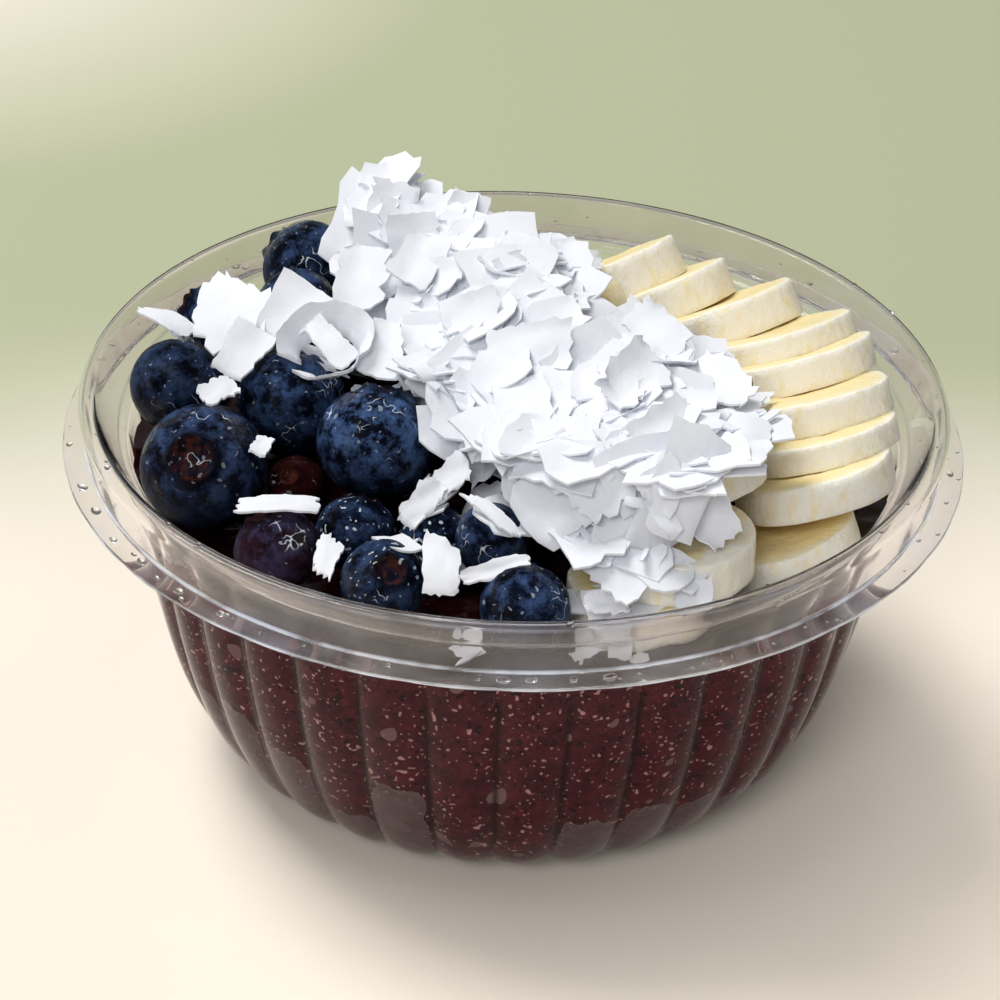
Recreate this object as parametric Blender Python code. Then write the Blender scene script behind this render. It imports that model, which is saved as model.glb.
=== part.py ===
"""Acai bowl: a fluted clear cup full of acai, topped with berries, banana slices and coconut.

Lengths are written in millimetres and turned into metres when a mesh is made.
The origin is the centre of the base, with +Z up. Seen from -Y, the berries lie on the left, the
banana fan on the right, and the coconut runs between them from the far left to the near right.
"""
import math

import bmesh
import bpy
from mathutils import Matrix, Vector

mm = 0.001
gap = 0.35             # air left between neighbouring pieces

# ---- the cup -------------------------------------------------------------
cup_height = 68.8
rim_outer = 75.0       # outer edge of the rounded lip
rim_inner = 71.5       # inner edge of the lip
skirt_root = 73.7      # where the skirt under the lip meets the flange
flange_outer = 78.0
flange_height = 60.0
ledge_radius = 68.2    # small step inside, just above the flutes
ledge_height = 61.6
body_radius = 67.3     # crest of a flute at the top of the body
base_radius = 41.9
wall = 0.6
lip_side = 1.4         # how far the lip's top edge is rounded over on its sides
lip_top = 0.9          # and across its top
flutes = 35
flute_turn = math.radians(1.7)
flute_depth = 1.3      # how far a crease lies inside the crests
flute_fade = 0.35      # share of that depth left where the flutes meet the ledge
around_body = 3 * flutes
around_rim = flutes

# ---- the acai ------------------------------------------------------------
acai_level = 53.0
acai_tilt = 0.025      # rise of the surface towards +Y
acai_mounds = [        # x, y, height, spread of each soft rise in the surface
    (-28, 4, 7.0, 24),
    (14, 6, 5.0, 26),
    (5, 62, 6.5, 11),
]

# ---- the toppings --------------------------------------------------------
# x, y, z of the centre, width, height along its axis, crown azimuth, crown tilt
berries = {
    "berry_01": (-58.0, -2.0, 66.2, 17.6, 16.4, 60, 50),
    "berry_02": (-51.5, -21.6, 62.2, 22.2, 20.2, 262, 50),
    "berry_03": (-38.6, -3.4, 64.6, 20.0, 18.2, 20, 75),
    "berry_04": (-22.8, -21.6, 68.2, 20.6, 19.0, 70, 30),
    "berry_05": (-39.6, 43.6, 66.4, 18.0, 16.2, 150, 70),
    "berry_06": (-40.0, 26.8, 66.6, 15.4, 14.4, 90, 60),
    "berry_07": (-54.6, 23.0, 66.0, 13.6, 12.8, 180, 60),
    "berry_08": (-14.2, -5.0, 64.4, 14.6, 14.0, 20, 60),
    "berry_09": (-36.6, -17.0, 56.6, 9.8, 9.4, 250, 40),
    "berry_10": (-37.4, -42.6, 60.0, 14.8, 13.4, 150, 30),
    "berry_11": (-25.2, -34.6, 58.6, 13.8, 12.6, 60, 30),
    "berry_12": (-19.8, -51.0, 60.2, 14.4, 13.8, 290, 40),
    "berry_13": (2.8, -56.6, 60.0, 15.0, 13.8, 80, 70),
    "berry_14": (-2.8, -43.6, 64.0, 12.4, 12.0, 20, 70),
    "berry_15": (-12.4, -35.6, 58.6, 11.8, 11.4, 90, 50),
    "berry_16": (10.3, 11.6, 69.4, 13.0, 12.4, 270, 60),
    "berry_17": (-12.0, 10.0, 65.6, 13.2, 12.6, 90, 60),
    "berry_18": (-31.6, 12.2, 69.0, 13.4, 12.6, 90, 60),
    "berry_19": (-0.6, -31.0, 57.6, 11.4, 11.0, 60, 20),
}

# the fan: each slice leans on the one before it, round the +X side of the cup
# angle round the cup, distance from its axis, height, lean azimuth, tilt, radius, thickness
fan = [
    (-29, 51.6, 54.2, 160, 19, 13.6, 5.0),
    (-22, 54.5, 63.0, 133, 25, 13.8, 5.0),
    (-13, 53.0, 65.8, 128, 26, 13.8, 3.6),
    (-3, 51.5, 67.4, 126, 27, 13.8, 4.8),
    (13, 51.0, 67.0, 127, 29, 13.8, 4.8),
    (23, 51.0, 67.6, 128, 30, 13.8, 3.4),
    (41, 51.0, 64.3, 133, 33, 13.8, 5.8),
    (58, 51.0, 62.6, 136, 34, 13.8, 5.8),
    (70, 51.0, 63.8, 137, 35, 13.8, 6.4),
]
# slices that show between the flakes, laid in by hand: x, y, z, lean, tilt, radius, thickness
loose_slices = [
    (-8.2, 49.0, 66.0, 175, 20, 10.4, 5.4),
    (-20.4, 46.6, 68.4, 180, 18, 9.6, 5.6),
    (28.0, -30.2, 71.1, 133, 20, 13.2, 6.4),
    (26.6, -42.0, 63.0, 120, 3, 13.2, 6.2),
    (25.4, 5.6, 66.0, 130, 20, 9.4, 5.2),
    (12.8, -26.6, 74.7, 150, 6, 9.2, 4.0),
    (21.0, -44.6, 55.6, 100, 2, 11.6, 5.4),
]
banana_end = dict(place=(12.8, 27.0, 68.0), radius=7.4, height=7.6, azimuth=250, tilt=42)

# the coconut heap follows a spine across the bowl: x, y, top, reach to its left and right
heap_spine = [
    (-29, 42, 86.0, 8, 9),
    (-15, 31, 85.0, 16, 13),
    (-5, 19, 84.0, 23, 12),
    (4, 4, 83.0, 25, 16),
    (13, -12, 81.0, 24, 22),
    (19, -27, 78.0, 22, 21),
    (19.5, -40, 71.0, 17, 17),
    (17, -51, 63.0, 9, 5),
]
heap_cells = (18, 9)   # along the spine, across it
heap_skin = 1.6        # least thickness of the heap
heap_side_drop = 11.0  # how far the mound falls from its crest to its sides
heap_end_drop = 6.0    # and towards its two ends
heap_bump = 1.3        # height of the flakes' unevenness on top
press = 1.2            # how far the acai stays below what lies in it

# coconut flakes that lie apart: x, y, z, length, width, heading, pitch, roll, curl in degrees
flakes = {
    "coconut_flake_01": (-61.5, 10.5, 73.0, 10, 6.5, 150, 10, 10, 30),
    "coconut_flake_02": (-49.2, 2.6, 79.0, 14, 11, 80, 30, -10, 35),
    "coconut_flake_03": (-41.0, 6.0, 77.0, 9, 6.5, 80, 20, 20, 90),
    "coconut_flake_04": (-37.4, -42.2, 68.7, 14, 3.2, 5, 0, 15, 20),
    "coconut_flake_05": (-29.0, -48.5, 63.4, 6.6, 4.2, 75, 30, 0, 40),
    "coconut_flake_06": (-2.8, -46.6, 71.2, 9.4, 2.8, 140, 20, 0, 20),
    "coconut_flake_07": (-10.6, -53.0, 65.6, 10, 6, 90, 25, 0, 60),
}
curl = dict(place=(-31.8, -6.6, 78.2), radius=6.2, width=4.6, turn=330)
flake_thickness = 0.9

looks = {              # colour, roughness
    "plastic": ((0.86, 0.88, 0.87, 1), 0.05),
    "acai": ((0.080, 0.012, 0.020, 1), 0.45),
    "berry": ((0.020, 0.028, 0.070, 1), 0.35),
    "banana": ((0.86, 0.72, 0.42, 1), 0.50),
    "coconut": ((0.88, 0.90, 0.94, 1), 0.60),
}


def clear_scene():
    for item in list(bpy.data.objects):
        bpy.data.objects.remove(item, do_unlink=True)


def make_material(name, look, shade=1.0):
    colour, roughness = looks[look]
    material = bpy.data.materials.new(name)
    material.use_nodes = True
    shader = material.node_tree.nodes["Principled BSDF"]
    shader.inputs["Base Color"].default_value = [c * shade for c in colour[:3]] + [1]
    shader.inputs["Roughness"].default_value = roughness
    shader.inputs["Metallic"].default_value = 0.0
    if look == "plastic":
        shader.inputs["Transmission Weight"].default_value = 1.0
        shader.inputs["IOR"].default_value = 1.57
    return material


def finish(bm, name, look, place=(0, 0, 0), turn=None, smooth=35, shade=1.0):
    """Turn a bmesh in millimetres into an object at its place."""
    bmesh.ops.scale(bm, vec=(mm, mm, mm), verts=bm.verts)
    mesh = bpy.data.meshes.new(name)
    bm.to_mesh(mesh)
    bm.free()
    mesh.shade_smooth()
    mesh.set_sharp_from_angle(angle=math.radians(smooth))
    mesh.materials.append(make_material(name, look, shade))
    piece = bpy.data.objects.new(name, mesh)
    piece.location = Vector(place) * mm
    if turn is not None:
        piece.rotation_euler = turn.to_euler()
    bpy.context.scene.collection.objects.link(piece)
    return piece


def lean(azimuth, tilt):
    """Rotation that tips +Z towards an azimuth by an angle, both in degrees."""
    heading = Matrix.Rotation(math.radians(azimuth), 3, "Z")
    return heading @ Matrix.Rotation(math.radians(tilt), 3, "Y") @ heading.inverted()


def ring(bm, count, radius, height):
    """A closed ring of vertices; radius and height may be functions of the angle."""
    verts = []
    for i in range(count):
        angle = math.tau * i / count + flute_turn
        r = radius(angle) if callable(radius) else radius
        z = height(r * math.cos(angle), r * math.sin(angle)) if callable(height) else height
        verts.append(bm.verts.new((r * math.cos(angle), r * math.sin(angle), z)))
    return verts


def join_rings(bm, low, high):
    """Skin two rings, where the longer one may have a whole multiple of the other's points."""
    if len(low) == len(high):
        for i in range(len(low)):
            j = (i + 1) % len(low)
            bm.faces.new((low[i], low[j], high[j], high[i]))
        return
    fine, coarse = (low, high) if len(low) > len(high) else (high, low)
    step = len(fine) // len(coarse)
    for i in range(len(coarse)):
        j = (i + 1) % len(coarse)
        span = [fine[(i * step + k) % len(fine)] for k in range(step + 1)]
        for k in range(step):
            near = coarse[i] if k < step / 2 else coarse[j]
            bm.faces.new((span[k], span[k + 1], near))
        bm.faces.new((span[(step + 1) // 2], coarse[j], coarse[i]))


def skin(bm, rings):
    """Skin a run of rings and close both ends with a fan."""
    for low, high in zip(rings, rings[1:]):
        join_rings(bm, low, high)
    for end in (rings[0], rings[-1]):
        bm.faces.new(end)
    bmesh.ops.recalc_face_normals(bm, faces=bm.faces)


# ---- cup and acai --------------------------------------------------------

def body_point(t, inset=0.0):
    """Radius and height on the side of the body, from the rim (0) to the base (1)."""
    corners = [(body_radius, flange_height), (body_radius - 2.7, flange_height - 26.0),
               (base_radius + 19.1, 0.0), (base_radius, 0.0)]
    weights = [(1 - t) ** 3, 3 * (1 - t) ** 2 * t, 3 * (1 - t) * t ** 2, t ** 3]
    radius = sum(w * c[0] for w, c in zip(weights, corners))
    height = sum(w * c[1] for w, c in zip(weights, corners))
    slopes = [3 * (1 - t) ** 2, 6 * (1 - t) * t, 3 * t ** 2]
    along = [sum(s * (b[k] - a[k]) for s, a, b in zip(slopes, corners, corners[1:])) for k in (0, 1)]
    length = math.hypot(*along)
    return radius + inset * along[1] / length, height - inset * along[0] / length


def fluted(radius, t):
    """Radius as a function of the angle: two points on each crest, one in each crease."""
    depth = flute_depth * min(1.0, flute_fade + 4 * t)

    def at(angle):
        step = round((angle - flute_turn) / math.tau * around_body) % 3
        return radius - (depth if step == 0 else 0.0)
    return at


body_steps = [0.0, 0.28, 0.52, 0.72, 0.88, 1.0]


def wall_radius(height):
    """Radius of a crest on the inside of the cup at a height near its top."""
    (top_radius, top_height), (low_radius, low_height) = [body_point(t, wall) for t in body_steps[:2]]
    share = (top_height - height) / (top_height - low_height)
    return top_radius + (low_radius - top_radius) * share


def make_cup():
    bm = bmesh.new()
    rings = []
    for t in reversed(body_steps):
        radius, height = body_point(t)
        rings.append(ring(bm, around_body, fluted(radius, t), height))
    outside = [
        (ledge_radius + wall, ledge_height - wall),
        (rim_inner + wall, cup_height - lip_side - wall / 2),
        (rim_inner + lip_top + wall / 2, cup_height - wall),
        (rim_outer - lip_top - wall / 2, cup_height - wall),
        (rim_outer - wall, cup_height - lip_side - wall / 2),
        (skirt_root - wall, flange_height - wall),
        (flange_outer, flange_height - wall),
        (flange_outer, flange_height),
        (skirt_root, flange_height),
        (rim_outer, cup_height - lip_side),
        (rim_outer - lip_top, cup_height),
        (rim_inner + lip_top, cup_height),
        (rim_inner, cup_height - lip_side),
        (ledge_radius, ledge_height),
    ]
    for radius, height in outside:
        rings.append(ring(bm, around_rim, radius, height))
    for t in body_steps:
        radius, height = body_point(t, wall)
        rings.append(ring(bm, around_body, fluted(radius, t), height))
    skin(bm, rings)
    finish(bm, "bowl", "plastic")


def surface(x, y):
    """Height of the acai before anything is pressed into it."""
    height = acai_level + acai_tilt * y
    for mx, my, rise, spread in acai_mounds:
        height += rise * math.exp(-((x - mx) ** 2 + (y - my) ** 2) / (2 * spread ** 2))
    return height


def make_acai():
    bm = bmesh.new()
    rings = []
    inset = wall + gap
    for t in reversed(body_steps[1:]):
        radius, height = body_point(t, inset)
        rings.append(ring(bm, around_body, fluted(radius, t), height))
    edge = wall_radius(acai_level) - gap

    def top(x, y):
        return min(surface(x, y), lowest_topping(x, y) - press)

    rings.append(ring(bm, around_body, fluted(edge, body_steps[1]), top))
    for vert in rings[-1]:
        reach = math.hypot(vert.co.x, vert.co.y)
        inward = min(0.0, wall_radius(vert.co.z) - wall_radius(acai_level))
        vert.co.x *= 1 + inward / reach
        vert.co.y *= 1 + inward / reach
    for share in (0.90, 0.79, 0.68, 0.56, 0.43, 0.29, 0.14):
        rings.append(ring(bm, around_rim, edge * share, top))
    skin(bm, rings)
    finish(bm, "acai", "acai")


# ---- where the toppings are ---------------------------------------------

def all_discs():
    """Centre, axis, radius and half thickness of every banana slice."""
    discs = []
    for angle, reach, height, azimuth, tilt, radius, thick in fan:
        turn = math.radians(angle)
        centre = Vector((reach * math.cos(turn), reach * math.sin(turn), height))
        discs.append((centre, lean(azimuth, tilt), radius, thick / 2))
    for x, y, z, azimuth, tilt, radius, thick in loose_slices:
        discs.append((Vector((x, y, z)), lean(azimuth, tilt), radius, thick / 2))
    return discs


def balls():
    """Centre and radius of every berry and of the banana's end."""
    found = [(Vector(row[:3]), row[3] / 2) for row in berries.values()]
    found.append((Vector(banana_end["place"]), banana_end["radius"] + 1))
    return found


def lowest_topping(x, y, margin=6.5):
    lowest = 1000.0
    for centre, radius in balls():
        reach = math.hypot(x - centre.x, y - centre.y)
        if reach < radius + margin:
            inner = min(1.0, max(0.0, reach - margin) / radius)
            lowest = min(lowest, centre.z - radius * math.sqrt(1 - inner ** 2))
    for centre, turn, radius, half in all_discs():
        reach = math.hypot(x - centre.x, y - centre.y)
        if reach < radius + margin:
            axis = turn @ Vector((0, 0, 1))
            foot = centre - axis * half
            plane = foot.z - (axis.x * (x - foot.x) + axis.y * (y - foot.y)) / axis.z
            lowest = min(lowest, plane)
    return lowest


def highest_topping(x, y, margin=6.5):
    highest = -1000.0
    for centre, radius in balls():
        reach = math.hypot(x - centre.x, y - centre.y)
        if reach < radius + margin:
            inner = max(0.0, reach - margin) / radius
            highest = max(highest, centre.z + radius * math.sqrt(1 - inner ** 2))
    for centre, turn, radius, half in all_discs():
        reach = math.hypot(x - centre.x, y - centre.y)
        if reach < radius + margin:
            axis = turn @ Vector((0, 0, 1))
            head = centre + axis * half
            plane = head.z - (axis.x * (x - head.x) + axis.y * (y - head.y)) / axis.z
            rim = head.z + radius * math.sqrt(1 - axis.z ** 2)
            highest = max(highest, min(plane, rim))
    return highest


# ---- toppings ------------------------------------------------------------

def make_berry(name, row):
    x, y, z, width, height, azimuth, tilt = row
    bm = bmesh.new()
    big = width > 13.5
    bmesh.ops.create_uvsphere(bm, u_segments=11 if big else 9, v_segments=7 if big else 6, radius=1.0)
    for vert in bm.verts:
        polar = math.acos(max(-1.0, min(1.0, vert.co.z)))
        flat = Vector((vert.co.x, vert.co.y, 0))
        if polar < 0.1:
            vert.co.z = 0.80                       # floor of the crown's dimple
        elif polar < 0.6:
            flat = flat.normalized() * 0.36        # collar round the crown
            vert.co = (flat.x, flat.y, 0.98)
    bmesh.ops.scale(bm, vec=(width / 2, width / 2, height / 2), verts=bm.verts)
    shade = 0.8 + 0.05 * (sum(map(ord, name)) % 9)
    finish(bm, name, "berry", (x, y, z), lean(azimuth, tilt), smooth=50, shade=shade)


def make_slice(name, centre, turn, radius, half, seed, torn=False):
    bm = bmesh.new()
    bmesh.ops.create_circle(bm, cap_ends=True, segments=18, radius=radius)
    for vert in bm.verts:
        angle = math.atan2(vert.co.y, vert.co.x) + seed
        grow = 1 - 0.02 + 0.015 * math.cos(5 * angle) + 0.012 * math.cos(2 * angle + 1)
        if torn and math.sin(angle - seed) < -0.5:
            grow -= 0.05
        vert.co *= grow
        vert.co.z = -half
    rise = bmesh.ops.extrude_face_region(bm, geom=bm.faces[:])
    top = [item for item in rise["geom"] if isinstance(item, bmesh.types.BMVert)]
    bmesh.ops.translate(bm, verts=top, vec=(0, 0, 2 * half))
    bmesh.ops.recalc_face_normals(bm, faces=bm.faces)
    finish(bm, name, "banana", centre, turn)


def make_banana_end():
    bm = bmesh.new()
    bmesh.ops.create_uvsphere(bm, u_segments=12, v_segments=7, radius=1.0)
    under = [v for v in bm.verts if v.co.z < -0.01]
    for vert in under:
        vert.co.z *= 0.25
    scale = (banana_end["radius"], banana_end["radius"], banana_end["height"])
    bmesh.ops.scale(bm, vec=scale, verts=bm.verts)
    turn = lean(banana_end["azimuth"], banana_end["tilt"])
    finish(bm, "banana_end", "banana", banana_end["place"], turn, smooth=60)


def along_spine(t):
    """Smooth point on the heap's spine for t from 0 to 1: x, y, top, reach left, reach right."""
    last = len(heap_spine) - 1
    place = t * last
    i = min(int(place), last - 1)
    f = place - i
    rows = [heap_spine[max(0, min(last, i + k))] for k in (-1, 0, 1, 2)]
    blend = (-0.5 * f + f * f - 0.5 * f ** 3, 1 - 2.5 * f * f + 1.5 * f ** 3,
             0.5 * f + 2 * f * f - 1.5 * f ** 3, -0.5 * f * f + 0.5 * f ** 3)
    return [sum(b * row[k] for b, row in zip(blend, rows)) for k in range(5)]


def make_heap():
    """Mound of coconut: a strip along the spine, thick from what lies under it to its top."""
    bm = bmesh.new()
    along, across = heap_cells
    bmesh.ops.create_grid(bm, x_segments=along, y_segments=across, size=1.0)
    bmesh.ops.triangulate(bm, faces=bm.faces[:])
    places = {}
    for vert in bm.verts:
        u, v = (vert.co.x + 1) / 2, vert.co.y
        x, y, top, left, right = along_spine(u)
        half = left if v < 0 else right
        ahead, behind = along_spine(min(1, u + 0.01)), along_spine(max(0, u - 0.01))
        way = Vector((ahead[0] - behind[0], ahead[1] - behind[1])).normalized()
        ragged = 1 + 0.10 * math.sin(37 * u + 5 * v) + 0.06 * math.sin(91 * u + 1.7)
        px = x - way.y * v * half * ragged
        py = y + way.x * v * half * ragged
        bump = heap_bump * (math.sin(1.9 * px + 0.7 * py) + 0.85 * math.sin(1.1 * py - 0.8 * px + 2))
        edge = min(1.0, 4 * u + 0.35, 4 * (1 - u) + 0.35)
        crown = top - heap_side_drop * abs(v) ** 2.2 - heap_end_drop * (1 - edge) + bump
        low = max(surface(px, py) + 1.0, highest_topping(px, py) + 1.0)
        vert.co = (px, py, low)
        places[round(px, 3), round(py, 3)] = max(crown, low + heap_skin)
    rise = bmesh.ops.extrude_face_region(bm, geom=bm.faces[:])
    for item in rise["geom"]:
        if isinstance(item, bmesh.types.BMVert):
            item.co.z = places[round(item.co.x, 3), round(item.co.y, 3)]
    bmesh.ops.recalc_face_normals(bm, faces=bm.faces)
    finish(bm, "coconut_heap", "coconut", smooth=20)


def make_flake(name, row):
    x, y, z, length, width, heading, pitch, roll, bend = row
    bm = bmesh.new()
    bmesh.ops.create_grid(bm, x_segments=2, y_segments=4, size=0.5)
    seed = sum(map(ord, name))
    for vert in bm.verts:
        u, v = vert.co.x, vert.co.y
        ragged = 1 - 0.25 * abs(math.sin(seed + 7 * u)) * (abs(v) > 0.4)
        arc = math.radians(bend) * v * ragged
        r = length / max(0.2, math.radians(bend))
        narrow = 1 - 0.3 * abs(v) * (1 + math.sin(seed * 1.3 + 3 * v))
        vert.co = (u * width * narrow, r * math.sin(arc), r * (math.cos(arc) - 1))
    bmesh.ops.solidify(bm, geom=bm.faces[:], thickness=flake_thickness)
    bmesh.ops.recalc_face_normals(bm, faces=bm.faces)
    turn = (Matrix.Rotation(math.radians(heading - 90), 3, "Z")
            @ Matrix.Rotation(math.radians(pitch), 3, "X")
            @ Matrix.Rotation(math.radians(roll), 3, "Y"))
    finish(bm, name, "coconut", (x, y, z), turn, smooth=20)


def make_curl():
    """The ring-shaped shaving: an open band standing on its edge, leaned to the front."""
    bm = bmesh.new()
    steps = 14
    bmesh.ops.create_grid(bm, x_segments=1, y_segments=steps, size=0.5)
    for vert in bm.verts:
        u, v = vert.co.x, vert.co.y
        angle = math.radians(curl["turn"]) * v
        r = curl["radius"] * (1 + 0.08 * math.sin(2 * angle)) + 1.2 * u
        vert.co = (r * math.cos(angle), r * math.sin(angle), u * curl["width"])
    bmesh.ops.solidify(bm, geom=bm.faces[:], thickness=flake_thickness)
    bmesh.ops.recalc_face_normals(bm, faces=bm.faces)
    finish(bm, "coconut_curl", "coconut", curl["place"], lean(250, 25), smooth=25)


def main():
    clear_scene()
    make_cup()
    make_acai()
    for name, row in berries.items():
        make_berry(name, row)
    for number, (centre, turn, radius, half) in enumerate(all_discs(), start=1):
        make_slice(f"banana_slice_{number:02d}", centre, turn, radius, half, number * 1.7,
                   torn=number == len(fan) + 4)
    make_banana_end()
    make_heap()
    for name, row in flakes.items():
        make_flake(name, row)
    make_curl()


main()
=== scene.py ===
import math
import random

import bmesh
import bpy
from mathutils import Euler, Matrix, Vector, noise
from mathutils.bvhtree import BVHTree


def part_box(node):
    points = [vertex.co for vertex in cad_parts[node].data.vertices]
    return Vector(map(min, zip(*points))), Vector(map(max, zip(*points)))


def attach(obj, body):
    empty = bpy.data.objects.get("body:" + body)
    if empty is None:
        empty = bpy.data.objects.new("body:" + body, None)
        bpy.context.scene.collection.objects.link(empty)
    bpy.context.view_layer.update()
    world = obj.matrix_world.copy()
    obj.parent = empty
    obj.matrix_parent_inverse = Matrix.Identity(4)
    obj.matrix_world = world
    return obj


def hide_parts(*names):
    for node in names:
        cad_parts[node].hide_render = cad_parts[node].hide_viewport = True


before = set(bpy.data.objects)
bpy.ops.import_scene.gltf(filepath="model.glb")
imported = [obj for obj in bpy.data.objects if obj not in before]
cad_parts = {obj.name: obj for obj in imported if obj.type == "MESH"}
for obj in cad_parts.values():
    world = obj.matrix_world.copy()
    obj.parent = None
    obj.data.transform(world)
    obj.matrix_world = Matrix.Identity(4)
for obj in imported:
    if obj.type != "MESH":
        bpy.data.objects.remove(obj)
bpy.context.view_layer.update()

mm = 0.001
up = Vector((0, 0, 1))
print("acai bowl: frame loaded,", len(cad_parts), "nodes")


# camera, in millimetres from the middle of the base
view = {
    "lens": 97.42,
    "height": 29.936,      # degrees above the table
    "turn": -0.238,
    "lift": 2.565,
    "roll": -1.992,
    "distance": 468.15,
    "aim": 68.8,           # height that the camera circles
}


def makeCamera():
    camera = bpy.data.objects.new("camera", bpy.data.cameras.new("camera"))
    camera.data.lens = view["lens"]
    camera.data.sensor_width = 36
    camera.data.clip_start = 0.01
    camera.data.clip_end = 20
    high = math.radians(view["height"])
    spot = Vector((0, -math.cos(high), math.sin(high))) * view["distance"] + up * view["aim"]
    turn = (Matrix.Rotation(math.radians(90) - high, 4, "X")
            @ Matrix.Rotation(math.radians(-view["turn"]), 4, "Y")
            @ Matrix.Rotation(math.radians(-view["lift"]), 4, "X")
            @ Matrix.Rotation(math.radians(-view["roll"]), 4, "Z"))
    camera.matrix_world = Matrix.Translation(spot * mm) @ turn
    bpy.context.scene.collection.objects.link(camera)
    bpy.context.scene.camera = camera


# node helpers
def newMaterial(name, **settings):
    material = bpy.data.materials.new(name)
    material.use_nodes = True
    shader = material.node_tree.nodes["Principled BSDF"]
    for key, value in settings.items():
        shader.inputs[key.replace("_", " ")].default_value = value
    return material, material.node_tree, shader


def addNode(tree, kind, links=None, **settings):
    item = tree.nodes.new("ShaderNode" + kind)
    for key, value in settings.items():
        if hasattr(item, key):
            setattr(item, key, value)
        else:
            item.inputs[key.replace("_", " ")].default_value = value
    for key, source in (links or {}).items():
        tree.links.new(source, item.inputs[key])
    return item


def where(tree, stretch=(1, 1, 1)):
    coords = addNode(tree, "TexCoord")
    mapping = addNode(tree, "Mapping", {"Vector": coords.outputs["Object"]})
    mapping.inputs["Scale"].default_value = stretch
    return mapping.outputs["Vector"]


# noise whose blotches are about size millimetres across
def cloud(tree, spot, size, detail=3.0, rough=0.5):
    links = {"Vector": spot}
    return addNode(tree, "TexNoise", links, Scale=1000.0 / size, Detail=detail, Roughness=rough).outputs["Fac"]


def ramp(tree, factor, *stops):
    item = addNode(tree, "ValToRGB", {"Fac": factor})
    points = item.color_ramp.elements
    while len(points) < len(stops):
        points.new(0.5)
    for point, (place, colour) in zip(points, stops):
        point.position = place
        point.color = (*colour, 1) if isinstance(colour, tuple) else (colour, colour, colour, 1)
    return item.outputs["Color"]


def mix(tree, factor, first, second, way="MIX"):
    item = addNode(tree, "MixRGB", blend_type=way)
    for key, value in (("Fac", factor), ("Color1", first), ("Color2", second)):
        if isinstance(value, bpy.types.NodeSocket):
            tree.links.new(value, item.inputs[key])
        else:
            item.inputs[key].default_value = (*value, 1) if isinstance(value, tuple) else value
    return item.outputs["Color"]


def calc(tree, way, first, second=0.0):
    item = addNode(tree, "Math", operation=way)
    for key, value in enumerate((first, second)):
        if isinstance(value, bpy.types.NodeSocket):
            tree.links.new(value, item.inputs[key])
        else:
            item.inputs[key].default_value = value
    return item.outputs["Value"]


def bump(tree, height, strength, depth):
    return addNode(tree, "Bump", {"Height": height}, Strength=strength, Distance=depth * mm).outputs["Normal"]


# pieces
# turns a bmesh in millimetres into a piece of the bowl
def settle(name, bm, material, nodes, smooth=40):
    bmesh.ops.scale(bm, vec=(mm, mm, mm), verts=bm.verts)
    mesh = bpy.data.meshes.new(name)
    bm.to_mesh(mesh)
    bm.free()
    mesh.shade_smooth()
    mesh.set_sharp_from_angle(angle=math.radians(smooth))
    mesh.materials.append(material)
    piece = bpy.data.objects.new(name, mesh)
    bpy.context.scene.collection.objects.link(piece)
    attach(piece, "root")
    if nodes:
        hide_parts(*nodes)
    return piece


# the solid of a node in millimetres, with its corners merged
def nodeCopy(name):
    bm = bmesh.new()
    bm.from_mesh(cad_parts[name].data)
    bmesh.ops.scale(bm, vec=(1000, 1000, 1000), verts=bm.verts)
    bmesh.ops.remove_doubles(bm, verts=bm.verts, dist=0.001)
    return bm


def nodeTree(*names):
    joined = bmesh.new()
    for name in names:
        copy = nodeCopy(name)
        mesh = bpy.data.meshes.new("probe")
        copy.to_mesh(mesh)
        copy.free()
        joined.from_mesh(mesh)
        bpy.data.meshes.remove(mesh)
    tree = BVHTree.FromBMesh(joined)
    joined.free()
    return tree


# spins a profile of (radius, height) pairs into a closed shape
def spinProfile(points, steps, sectors=1):
    bm = bmesh.new()
    verts = [bm.verts.new((r, 0, z)) for r, z in points]
    edges = [bm.edges.new(pair) for pair in zip(verts, verts[1:])]
    bmesh.ops.spin(bm, geom=verts + edges, cent=(0, 0, 0), axis=(0, 0, 1), angle=math.tau / sectors,
                   steps=steps, use_merge=sectors == 1, use_duplicate=False)
    sector = bm.verts[:] + bm.edges[:] + bm.faces[:]
    for k in range(1, sectors):
        more = bmesh.ops.duplicate(bm, geom=sector)["geom"]
        bmesh.ops.rotate(bm, cent=(0, 0, 0), matrix=Matrix.Rotation(math.tau * k / sectors, 3, "Z"),
                         verts=[item for item in more if isinstance(item, bmesh.types.BMVert)])
    bmesh.ops.remove_doubles(bm, verts=bm.verts, dist=0.0005)
    bmesh.ops.recalc_face_normals(bm, faces=bm.faces)
    return bm


def smoothStep(low, high, value):
    t = min(1.0, max(0.0, (value - low) / (high - low)))
    return t * t * (3 - 2 * t)


# soft noise from -1 to 1, size millimetres across
def rough3(spot, size, seed=0.0):
    return noise.noise(Vector(spot) / size + Vector((seed, seed * 1.7, seed * 0.6)))


# floor and light
stageLook = {
    "cream": (0.90, 0.83, 0.735),
    "sage": (0.44, 0.475, 0.32),
    "fadeFrom": 20.0,      # how far behind the bowl the cream turns to sage
    "fadeTo": 165.0,
    "glow": (-0.19, 0.37), # where the cream comes back, in metres
}


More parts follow.
